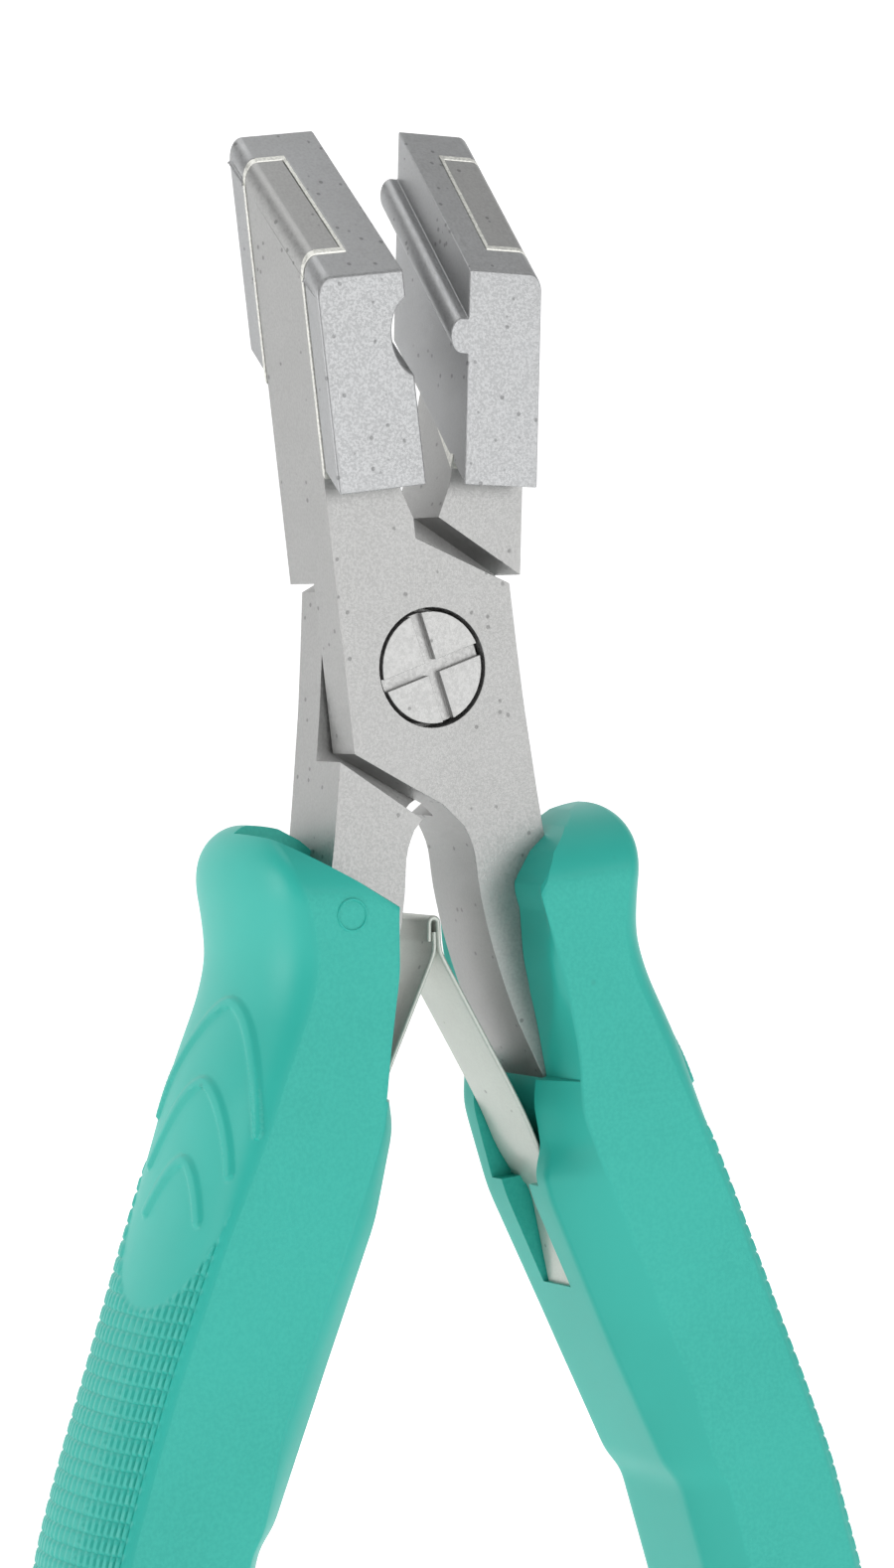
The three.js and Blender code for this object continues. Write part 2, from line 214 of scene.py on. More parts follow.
def shade(piece: bpy.types.Object, sharp_deg: float | None = None) -> None:
    """Shade a piece smooth.

    Args:
        piece: what is shaded.
        sharp_deg: edges that turn by more stay crisp; none do if it is not given.
    """
    piece.data.polygons.foreach_set("use_smooth", np.ones(len(piece.data.polygons), bool))
    if sharp_deg is not None:
        piece.data.set_sharp_from_angle(angle=math.radians(sharp_deg))


def soften(piece: bpy.types.Object, width: float, steps: int = 2, angle_deg: float = 25.0) -> None:
    """Round a piece's sharp edges, and weight its normals so that its flats stay flat.

    Args:
        piece: a merged mesh.
        width: of the rounding, in millimetres.
        steps: faces across the rounding.
        angle_deg: edges that turn by more are rounded.
    """
    bevel = piece.modifiers.new("edges", "BEVEL")
    bevel.width = width * MM
    bevel.segments = steps
    bevel.limit_method = "ANGLE"
    bevel.angle_limit = math.radians(angle_deg)
    bevel.miter_outer = "MITER_ARC"
    weighted = piece.modifiers.new("flats", "WEIGHTED_NORMAL")
    weighted.keep_sharp = False
    shade(piece)


def merged_copy(node: str, name: str) -> bpy.types.Object:
    """Copy a CAD node's mesh, merge its loose corners and clear the seams inside its flats.

    Args:
        node: the CAD node.
        name: the copy's name.

    Returns:
        The copy, with the node itself left alone.
    """
    mesh = frame["nodes"][node].data.copy()
    mesh.name = name
    mesh.materials.clear()
    work = bmesh.new()
    work.from_mesh(mesh)
    bmesh.ops.remove_doubles(work, verts=work.verts, dist=2e-6)
    bmesh.ops.dissolve_degenerate(work, dist=1e-6, edges=work.edges)
    bmesh.ops.dissolve_limit(
        work, angle_limit=math.radians(0.4), verts=work.verts, edges=work.edges
    )
    bmesh.ops.recalc_face_normals(work, faces=work.faces)
    work.to_mesh(mesh)
    work.free()
    for layer in [*mesh.attributes]:
        if layer.name.startswith("custom_normal"):
            mesh.attributes.remove(layer)
    piece = bpy.data.objects.new(name, mesh)
    bpy.context.scene.collection.objects.link(piece)
    return piece


def dress(piece: bpy.types.Object, material: bpy.types.Material, slot: Slot, *nodes: str) -> None:
    """Give a piece its material, and let it stand for its CAD nodes.

    Args:
        piece: the visible piece.
        material: its finished material.
        slot: not used.
        *nodes: CAD nodes that it replaces.
    """
    piece.data.materials.clear()
    piece.data.materials.append(material)
    if nodes:
        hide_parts(*nodes)
    LOG.info("%s: %d faces", piece.name, len(piece.data.polygons))


# Finishes


@dataclass
class Graph:
    """A node tree under construction, with short calls to add and join nodes."""

    tree: bpy.types.NodeTree

    def add(self, kind: str, links: dict | None = None, **values) -> bpy.types.Node:
        """Add a node.

        Args:
            kind: the node's type name, without its ShaderNode prefix.
            links: input name or number to an output socket, or to a plain value.
            **values: properties set on the node.

        Returns:
            The new node.
        """
        node = self.tree.nodes.new(kind if kind.startswith("Node") else "ShaderNode" + kind)
        for key, value in values.items():
            setattr(node, key, value)
        for key, value in (links or {}).items():
            if isinstance(value, bpy.types.NodeSocket):
                self.tree.links.new(value, node.inputs[key])
            else:
                node.inputs[key].default_value = value
        return node

    def math(
        self, operation: str, a: Value, b: Value = 0.0, c: Value = 0.0
    ) -> bpy.types.NodeSocket:
        """Combine values with one Math node.

        Args:
            operation: the node's operation.
            a: first value or socket.
            b: second one.
            c: third one, for operations that take it.

        Returns:
            The node's output.
        """
        return self.add("Math", {0: a, 1: b, 2: c}, operation=operation).outputs[0]

    def ramp(
        self, value: Value, low: float, high: float, to_low: float = 0.0, to_high: float = 1.0
    ) -> bpy.types.NodeSocket:
        """Map a value smoothly from one range to another.

        Args:
            value: socket or value to map.
            low: start of its range.
            high: end of its range.
            to_low: result at low.
            to_high: result at high.

        Returns:
            The node's output.
        """
        limits = {"Value": value, "From Min": low, "From Max": high}
        targets = {"To Min": to_low, "To Max": to_high}
        node = self.add("MapRange", limits | targets, interpolation_type="SMOOTHSTEP")
        return node.outputs["Result"]

    def mix(self, factor: Value, a: Value, b: Value) -> bpy.types.NodeSocket:
        """Mix two colours.

        Args:
            factor: 0 for a, 1 for b.
            a: first colour.
            b: second colour.

        Returns:
            The mixed colour's socket.
        """
        node = self.add("Mix", {0: factor, 6: a, 7: b}, data_type="RGBA")
        return node.outputs[2]


def linear(red: int, green: int, blue: int) -> tuple[float, float, float, float]:
    """Turn a screen colour into linear light.

    Args:
        red: 0 to 255.
        green: 0 to 255.
        blue: 0 to 255.

    Returns:
        Red, green, blue and an alpha of 1, by the sRGB curve.
    """
    part = np.array([red, green, blue]) / 255.0
    light = np.where(part <= 0.04045, part / 12.92, ((part + 0.055) / 1.055) ** 2.4)
    return (*light.tolist(), 1.0)


def new_group(name: str, inputs: dict[str, str], outputs: dict[str, str]) -> Graph:
    """Start a shader node group.

    Args:
        name: the group's name.
        inputs: socket name to socket type.
        outputs: socket name to socket type.

    Returns:
        Its graph, with an input and an output node in it.
    """
    tree = bpy.data.node_groups.new(name, "ShaderNodeTree")
    for label, kind in inputs.items():
        tree.interface.new_socket(label, in_out="INPUT", socket_type="NodeSocket" + kind)
    for label, kind in outputs.items():
        tree.interface.new_socket(label, in_out="OUTPUT", socket_type="NodeSocket" + kind)
    tree.nodes.new("NodeGroupInput")
    tree.nodes.new("NodeGroupOutput")
    return Graph(tree)


def grain_group() -> bpy.types.NodeTree:
    """Fine even grain.

    Returns:
        A group that puts out a soft noise for tone and a finer one for height.
    """
    inputs = {"Vector": "Vector", "Scale": "Float"}
    graph = new_group("grain", inputs, {"Tone": "Float", "Height": "Float"})
    source, out = graph.tree.nodes["Group Input"], graph.tree.nodes["Group Output"]
    place, scale = source.outputs["Vector"], source.outputs["Scale"]
    tone = graph.add("TexNoise", {"Vector": place, "Scale": scale, "Detail": 4.0})
    finer = graph.math("MULTIPLY", scale, 1.7)
    height = graph.add("TexNoise", {"Vector": place, "Scale": finer, "Detail": 2.0})
    graph.tree.links.new(graph.ramp(tone.outputs[0], 0.32, 0.68), out.inputs["Tone"])
    graph.tree.links.new(height.outputs[0], out.inputs["Height"])
    return graph.tree


def specks_group() -> bpy.types.NodeTree:
    """Sparse round specks: the hearts of a few cells out of many.

    Returns:
        A group that puts out a mask, 1 in a speck and 0 outside.
    """
    inputs = {"Vector": "Vector", "Scale": "Float", "Size": "Float", "Share": "Float"}
    graph = new_group("specks", inputs, {"Mask": "Float"})
    source, out = graph.tree.nodes["Group Input"], graph.tree.nodes["Group Output"]
    cells = graph.add(
        "TexVoronoi", {"Vector": source.outputs["Vector"], "Scale": source.outputs["Scale"]}
    )
    chance = graph.add("SeparateColor", {0: cells.outputs["Color"]}).outputs[0]
    chosen = graph.math("LESS_THAN", chance, source.outputs["Share"])
    near = graph.math("SUBTRACT", source.outputs["Size"], cells.outputs["Distance"])
    heart = graph.ramp(near, 0.0, 0.12)
    graph.tree.links.new(graph.math("MULTIPLY", chosen, heart), out.inputs["Mask"])
    return graph.tree


GRAIN = grain_group()
SPECKS = specks_group()


def use_group(graph: Graph, tree: bpy.types.NodeTree, links: dict) -> bpy.types.Node:
    """Place a node group and join its inputs.

    Args:
        graph: the graph it goes into.
        tree: the group.
        links: input name to an output socket, or to a plain value.

    Returns:
        The group's node.
    """
    node = graph.tree.nodes.new("ShaderNodeGroup")
    node.node_tree = tree
    for key, value in links.items():
        if isinstance(value, bpy.types.NodeSocket):
            graph.tree.links.new(value, node.inputs[key])
        else:
            node.inputs[key].default_value = value
    return node


@dataclass(frozen=True)
class Finish:
    """What every finish has: a name, a tone and a shader that the subclass feeds."""

    name: str
    tone: tuple[int, int, int]

    def start(self) -> tuple[bpy.types.Material, Graph, bpy.types.Node]:
        """Start the material.

        Returns:
            The material, its graph and its shader node.
        """
        material = bpy.data.materials.new(self.name)
        material.use_nodes = True
        return material, Graph(material.node_tree), material.node_tree.nodes["Principled BSDF"]

    def join(self, graph: Graph, shader: bpy.types.Node, links: dict) -> None:
        """Join outputs to the shader's sockets.

        Args:
            graph: the material's graph.
            shader: its shader node.
            links: socket name to output.
        """
        for key, value in links.items():
            graph.tree.links.new(value, shader.inputs[key])


@dataclass(frozen=True)
class Steel(Finish):
    """Bead-blasted or ground steel: an even grain with small bright and dark specks."""

    grain: float = 5200.0
    low_rough: float = 0.40
    high_rough: float = 0.54
    bump: float = 0.35
    bump_mm: float = 0.02
    metal: float = 0.85
    contrast: float = 0.10
    pitted: float = 0.10

    def share(self, graph: Graph, place: bpy.types.NodeSocket) -> Value:
        """How many of the cells are pits.

        Args:
            graph: the material's graph.
            place: object coordinates.

        Returns:
            The share, here the same all over.
        """
        return self.pitted

    def build(self) -> bpy.types.Material:
        """Make the material.

        Returns:
            The finished material.
        """
        material, graph, shader = self.start()
        place = graph.add("TexCoord").outputs["Object"]
        grain = use_group(graph, GRAIN, {"Vector": place, "Scale": self.grain})
        cloud = use_group(graph, GRAIN, {"Vector": place, "Scale": 260.0})
        base = np.array(linear(*self.tone))
        dark, light = base * (1 - self.contrast), base * (1 + self.contrast)
        dark[3] = light[3] = 1.0
        tone = graph.mix(grain.outputs["Tone"], tuple(dark), tuple(np.minimum(light, 1.0)))
        soft = graph.math("MULTIPLY", cloud.outputs["Tone"], 0.12)
        tone = graph.mix(soft, tone, linear(150, 150, 148))
        share = self.share(graph, place)
        pits = use_group(
            graph, SPECKS, {"Vector": place, "Scale": 1500.0, "Size": 0.3, "Share": share}
        )
        pitted = graph.math("MULTIPLY", pits.outputs["Mask"], 0.45)
        tone = graph.mix(pitted, tone, linear(70, 70, 70))
        rough = graph.ramp(grain.outputs["Tone"], 0.0, 1.0, self.low_rough, self.high_rough)
        rise = graph.math("SUBTRACT", grain.outputs["Height"], pitted)
        bump = graph.add(
            "Bump", {"Height": rise, "Strength": self.bump, "Distance": self.bump_mm * MM}
        )
        links = {"Base Color": tone, "Roughness": rough, "Normal": bump.outputs[0]}
        self.join(graph, shader, links)
        shader.inputs["Metallic"].default_value = self.metal
        return material


@dataclass(frozen=True)
class Worn(Steel):
    """Steel that is pitted more thickly near the jaws' slanting top and their meeting faces."""

    crowded: float = 0.55
    slope: float = math.tan(math.radians(44.0))
    top_mm: float = 33.63
    reach_mm: float = 2.4

    def share(self, graph: Graph, place: bpy.types.NodeSocket) -> Value:
        """How many of the cells are pits, read from the depth below the jaws' slanting top.

        Args:
            graph: the material's graph.
            place: object coordinates.

        Returns:
            The share, higher near the top of the meeting faces.
        """
        axes = graph.add("SeparateXYZ", {0: place}).outputs
        aside = graph.math("ABSOLUTE", graph.math("SUBTRACT", axes["X"], float(PIVOT[0])))
        height = graph.math("SUBTRACT", axes["Z"], float(PIVOT[2]) + self.top_mm * MM)
        height = graph.math("MULTIPLY_ADD", axes["Y"], -self.slope, height)
        height = graph.math("MULTIPLY_ADD", aside, math.sin(REST_HALF_ANGLE), height)
        near_top = graph.ramp(height, -self.reach_mm * MM, -0.3 * MM)
        inner = graph.ramp(aside, 4.5 * MM, 2.0 * MM)
        worn = graph.math("MULTIPLY", near_top, inner)
        return graph.math("MULTIPLY_ADD", worn, self.crowded - self.pitted, self.pitted)


@dataclass(frozen=True)
class Moulded(Finish):
    """Moulded teal grip: satin on its rounded sides, finely grained on its flat cheeks."""

    satin: float = 0.42
    grained: float = 0.56

    def build(self) -> bpy.types.Material:
        """Make the material.

        Returns:
            The finished material.
        """
        material, graph, shader = self.start()
        where = graph.add("TexCoord")
        place = where.outputs["Object"]
        facing = graph.add("SeparateXYZ", {0: where.outputs["Normal"]}).outputs["Y"]
        flat = graph.ramp(graph.math("ABSOLUTE", facing), 0.955, 0.99)
        grain = use_group(graph, GRAIN, {"Vector": place, "Scale": 3400.0})
        cloud = use_group(graph, GRAIN, {"Vector": place, "Scale": 90.0})
        red, green, blue = self.tone
        base = linear(red, green, blue)
        tone = graph.mix(cloud.outputs["Tone"], linear(red - 3, green - 4, blue - 4), base)
        speckle = graph.math("MULTIPLY", grain.outputs["Tone"], flat)
        lighter = linear(red + 12, green + 10, blue + 8)
        tone = graph.mix(graph.math("MULTIPLY", speckle, 0.5), tone, lighter)
        dust = use_group(
            graph, SPECKS, {"Vector": place, "Scale": 420.0, "Size": 0.16, "Share": 0.05}
        )
        tone = graph.mix(
            graph.math("MULTIPLY", dust.outputs["Mask"], 0.25), tone, linear(30, 105, 98)
        )
        rough = graph.ramp(flat, 0.0, 1.0, self.satin, self.grained)
        deep = graph.ramp(flat, 0.0, 1.0, 0.10, 1.0)
        height = graph.math("MULTIPLY", grain.outputs["Height"], deep)
        bump = graph.add("Bump", {"Height": height, "Strength": 0.5, "Distance": 0.05 * MM})
        links = {"Base Color": tone, "Roughness": rough, "Normal": bump.outputs[0]}
        self.join(graph, shader, links)
        shader.inputs["Specular IOR Level"].default_value = 0.5
        return material


@dataclass(frozen=True)
class Matt(Finish):
    """Plain pale studio paper, faintly lit from behind."""

    glow: float = 0.0

    def build(self) -> bpy.types.Material:
        """Make the material.

        Returns:
            The finished material.
        """
        material, graph, shader = self.start()
        place = graph.add("TexCoord").outputs["Object"]
        cloud = use_group(graph, GRAIN, {"Vector": place, "Scale": 4.0})
        red, green, blue = self.tone
        tone = graph.mix(
            cloud.outputs["Tone"], linear(red, green, blue), linear(red - 1, green - 1, blue - 1)
        )
        self.join(graph, shader, {"Base Color": tone})
        shader.inputs["Roughness"].default_value = 0.9
        shader.inputs["Emission Color"].default_value = (1.0, 1.0, 1.0, 1.0)
        shader.inputs["Emission Strength"].default_value = self.glow
        return material


# Sub-assemblies


@dataclass
class Steelwork:
    """The two lapped steel bars, the forming blocks on their arms and the pale braze between."""

    edge: float = 0.12
    block_edge: float = 0.16
    bar: Finish = Steel("blasted_bar_steel", (168, 168, 167))
    jaw: Finish = Worn("ground_jaw_steel", (168, 169, 170), low_rough=0.36, pitted=0.16)
    filler: Finish = Steel("braze", (224, 224, 218), contrast=0.16, pitted=0.04)
    half_width: float = 7.0
    half_thick: float = 3.5
    gap: float = 0.3
    slant: float = math.radians(44.0)
    jaw_depth: float = 11.24
    jaw_foot: float = 13.0
    jaw_tip: float = 28.2
    bead: float = 0.55
    shoulders: tuple[float, float] = (1.2, 0.9)
    arm_edge: Table = ((-0.7, 9.0), (-1.0, 13.0), (-3.7, 28.0), (-3.9, 45.0))

    def build(self) -> None:
        """Make both bars, both blocks and both braze joints."""
        bar, jaw, filler = self.bar.build(), self.jaw.build(), self.filler.build()
        blocks = ((Body.FRONT, "left_jaw_block"), (Body.BACK, "right_jaw_block"))
        for (body, block), shoulder in zip(blocks, self.shoulders):
            steel = merged_copy(body.value, body.value + "_steel")
            combine(steel, self.shoulder(body, shoulder), Cut.REMOVE)
            soften(steel, self.edge)
            dress(steel, bar, Slot.BAR, body.value)
            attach(steel, body.value)
            face = merged_copy(block, block + "_steel")
            combine(face, self.shoulder(body, shoulder), Cut.REMOVE)
            soften(face, self.block_edge, 3)
            dress(face, jaw, Slot.JAW, block)
            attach(face, body.value)
            seam = self.seam(body)
            combine(seam, self.shoulder(body, shoulder - 0.05), Cut.REMOVE)
            shade(seam, 30.0)
            dress(seam, filler, Slot.JAW)
            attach(seam, body.value)

    def shoulder(self, body: Body, radius: float) -> bpy.types.Object:
        """The waste outside a jaw's rounded outer top edge, as a bar along the slant.

        Its section is the square corner less a quarter circle: across is X and up is square to the
        slanting top, and the bar follows the top from front to back.

        Args:
            body: the half whose jaw is rounded.
            radius: of the rounding.

        Returns:
            The solid to cut away.
        """
        side = -1.0 if body is Body.FRONT else 1.0
        turn = np.linspace(0.0, math.pi / 2, 13)
        arc = np.column_stack([radius * (np.cos(turn) - 1), radius * (np.sin(turn) - 1)])
        outer = np.array([[-radius, 1.5], [1.5, 1.5], [1.5, -radius]])
        section = np.vstack([arc, outer])
        x = side * (self.half_width + section[:, 0])
        ends = []
        for reach in (-14.0, 14.0):
            y = reach * math.cos(self.slant) - section[:, 1] * math.sin(self.slant)
            z = reach * math.sin(self.slant) + section[:, 1] * math.cos(self.slant)
            z += self.jaw_tip + math.tan(self.slant) * self.jaw_depth / 2
            ends.append(np.column_stack([x, y, z]))
        return loft("shoulder", at_rest(np.array(ends), body))

    def seam(self, body: Body) -> bpy.types.Object:
        """The braze that fills the gap round an arm, a hair proud of the block and beaded below.

        It is the gap's outline less the arm's, kept inside the block's own slanting box.

        Args:
            body: the half that it joins.

        Returns:
            The seam's object.
        """
        flip = body is Body.BACK
        proud, half = 0.05, self.jaw_depth / 2
        rise = math.tan(self.slant) * self.jaw_depth
        inner = np.array(self.arm_edge)
        wide = np.vstack([inner + [self.gap, 0.0], [[-12.0, 45.0], [-12.0, 9.0]]])
        narrow = np.vstack([inner + [0.02, 0.0], [[-13.0, 45.5], [-13.0, 8.5]]])
        sleeve = self.prism(wide, self.half_thick + self.gap - 0.01, body, flip)
        arm = self.prism(narrow, self.half_thick + 0.02, body, flip)
        combine(sleeve, arm, Cut.REMOVE)
        side = self.half_width + proud
        foot = self.jaw_foot - self.bead
        across = [(-half, foot), (half, foot + rise)]
        top = [(half, self.jaw_tip + rise + proud), (-half, self.jaw_tip + proud)]
        profile = np.array(across + top)
        ends = [np.column_stack([np.full(4, x), profile]) for x in (-side, side)]
        envelope = loft("envelope", at_rest(np.array(ends), body))
        combine(sleeve, envelope, Cut.KEEP)
        sleeve.name = body.value + "_braze"
        return sleeve

    def prism(self, outline: np.ndarray, reach: float, body: Body, flip: bool) -> bpy.types.Object:
        """A plate with an outline in X and Z.

        Args:
            outline: corners in order.
            reach: the plate fills -reach to reach in Y.
            body: the half that it belongs to.
            flip: drawn as the other half's twin.

        Returns:
            The plate's object.
        """
        ends = [
            np.column_stack([outline[:, 0], np.full(len(outline), y), outline[:, 1]])
            for y in (-reach, reach)
        ]
        return loft("plate", at_rest(np.array(ends), body, flip))


@dataclass
class Fastenings:
    """The cross-slotted pivot screw and the two rivets that hold the springs' feet."""

    screw: Finish = Steel("screw_steel_finish", (180, 180, 179), grain=4200.0, pitted=0.05)
    rivet: Finish = Steel("rivet_steel", (176, 176, 172), low_rough=0.3, pitted=0.03)

    def build(self) -> None:
        """Make the screw and the rivets."""
        screw, rivet = self.screw.build(), self.rivet.build()
        head = merged_copy("pivot_screw", "pivot_screw_steel")
        soften(head, 0.14)
        dress(head, screw, Slot.SCREW, "pivot_screw")
        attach(head, Body.BACK.value)
        for node, body in (("right_spring_rivet", Body.FRONT), ("left_spring_rivet", Body.BACK)):
            piece = merged_copy(node, node + "_steel")
            soften(piece, 0.12, 3)
            dress(piece, rivet, Slot.SCREW, node)
            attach(piece, body.value)


@dataclass
class LeafSprings:
    """Two leaf springs that lean together, the right one hooked over the left one's tip."""

    finish: Finish = Steel(
        "spring_steel_finish", (194, 198, 191), low_rough=0.3, high_rough=0.42, metal=0.45,
        bump=0.12, pitted=0.02, contrast=0.05,
    )
    thickness: float = 0.36
    width: float = 6.4
    tongue: float = 3.7
    tongue_top: float = -37.9
    root: tuple[float, float] = (8.0, -35.5)
    held: tuple[float, float] = (9.35, -38.9)
    right: Table = (
        (10.6, -46.0), (9.9, -42.0), (9.35, -38.9), (8.4, -37.2), (7.3, -35.4), (6.45, -33.2),
        (5.4, -31.0), (4.4, -29.1), (0.73, -22.15), (0.0, -20.75), (-0.22, -20.1), (-0.22, -18.7),
    )
    left: Table = (
        (-10.6, -46.0), (-9.9, -42.0), (-9.35, -38.9), (-8.7, -37.2), (-7.9, -35.4),
        (-7.1, -33.4), (-6.1, -31.0), (-5.1, -29.1), (-1.53, -22.15), (-0.82, -20.75),
        (-0.6, -20.1), (-0.58, -18.9),
    )
    fold: tuple[float, float] = (-0.58, -18.24)
    fold_radius: float = 0.36
    flap: float = 1.3

    def build(self) -> None:
        """Make both leaves, each held still at its foot and swinging from its root."""
        steel = self.finish.build()
        left = self.rounded(np.array(self.left))
        plans = (
            (1.0, self.hooked(), Body.FRONT, Body.RIGHT_LEAF, "right_leaf_spring"),
            (-1.0, left, Body.BACK, Body.LEFT_LEAF, "left_leaf_spring"),
        )
        for side, path, half, leaf, node in plans:
            strip = self.strip(node + "_strip", path)
            shade(strip, 50.0)
            dress(strip, steel, Slot.SPRING, node)
            start = self.place(side * self.held[0], self.held[1])
            end = self.place(side * self.root[0], self.root[1])
            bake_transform(strip, half.value, leaf.value, start=start, end=end)

    def place(self, x: float, z: float) -> tuple[float, float, float]:
        """A point on the springs' middle plane.

        Args:
            x: millimetres about the pivot.
            z: millimetres about the pivot.

        Returns:
            The point in metres in the part's frame.
        """
        return (x * MM + PIVOT[0], PIVOT[1], z * MM + PIVOT[2])

    def hooked(self) -> np.ndarray:
        """The middle line of the right leaf from its foot up.

        It stands up straight for its last two millimetres, turns over through half a circle and
        comes down again as a short flap; the left leaf's tip ends inside that fold.

        Returns:
            Rows of X and Z.
        """
        turns = np.linspace(0.0, math.pi, 20)
        centre = np.array(self.fold)
        hook = centre + self.fold_radius * np.column_stack([np.cos(turns), np.sin(turns)])
        tail = hook[-1] + np.linspace(0.12, 1.0, 8)[:, None] * [-0.08, -self.flap]
        return np.vstack([self.rounded(np.array(self.right)), hook, tail])

    def rounded(self, corners: np.ndarray) -> np.ndarray:
        """Round a broken line: each corner becomes a parabola between its legs' middles.

        Args:
            corners: rows of X and Z.

        Returns:
            Rows of X and Z along the rounded line, with both ends kept.
        """
        middle = (corners[:-1] + corners[1:]) / 2
        t = np.linspace(0.0, 1.0, 7)[:, None, None]
        a, b, c = middle[:-1], corners[1:-1], middle[1:]
        arcs = (1 - t) ** 2 * a + 2 * t * (1 - t) * b + t**2 * c
        joined = arcs.transpose(1, 0, 2).reshape(-1, 2)
        keep = np.ones(len(joined), bool)
        keep[7::7] = False
        return np.vstack([corners[:1], joined[keep], corners[-1:]])

    def strip(self, name: str, path: np.ndarray) -> bpy.types.Object:
        """Carry a flat section with rounded edges along a path.

        The section is a slot shape: half circles of half the thickness at both edges of the width,
        which narrows to a tongue at the foot.

        Args:
            name: the piece's name.
            path: rows of X and Z.

        Returns:
            The strip's object.
        """
        half = self.thickness / 2
        turn = np.linspace(-math.pi / 2, math.pi / 2, 9)
        edge = np.column_stack([half * np.sin(turn), half * np.cos(turn) - half])
        section = np.vstack([edge, -edge])
        side = np.repeat([1.0, -1.0], len(edge))
        narrow = smoothstep(self.tongue_top + 0.5, self.tongue_top - 0.5, path[:, 1])
        reach = self.width / 2 + (self.tongue - self.width) / 2 * narrow
        along = np.gradient(path, axis=0)
        along /= np.linalg.norm(along, axis=1)[:, None]
        across = np.column_stack([-along[:, 1], along[:, 0]])
        flat = path[:, None, :] + across[:, None, :] * section[None, :, :1]
        y = section[None, :, 1] + side[None, :] * reach[:, None]
        points = np.stack([flat[..., 0], y, flat[..., 1]], -1)
        return loft(name, points * MM + PIVOT)


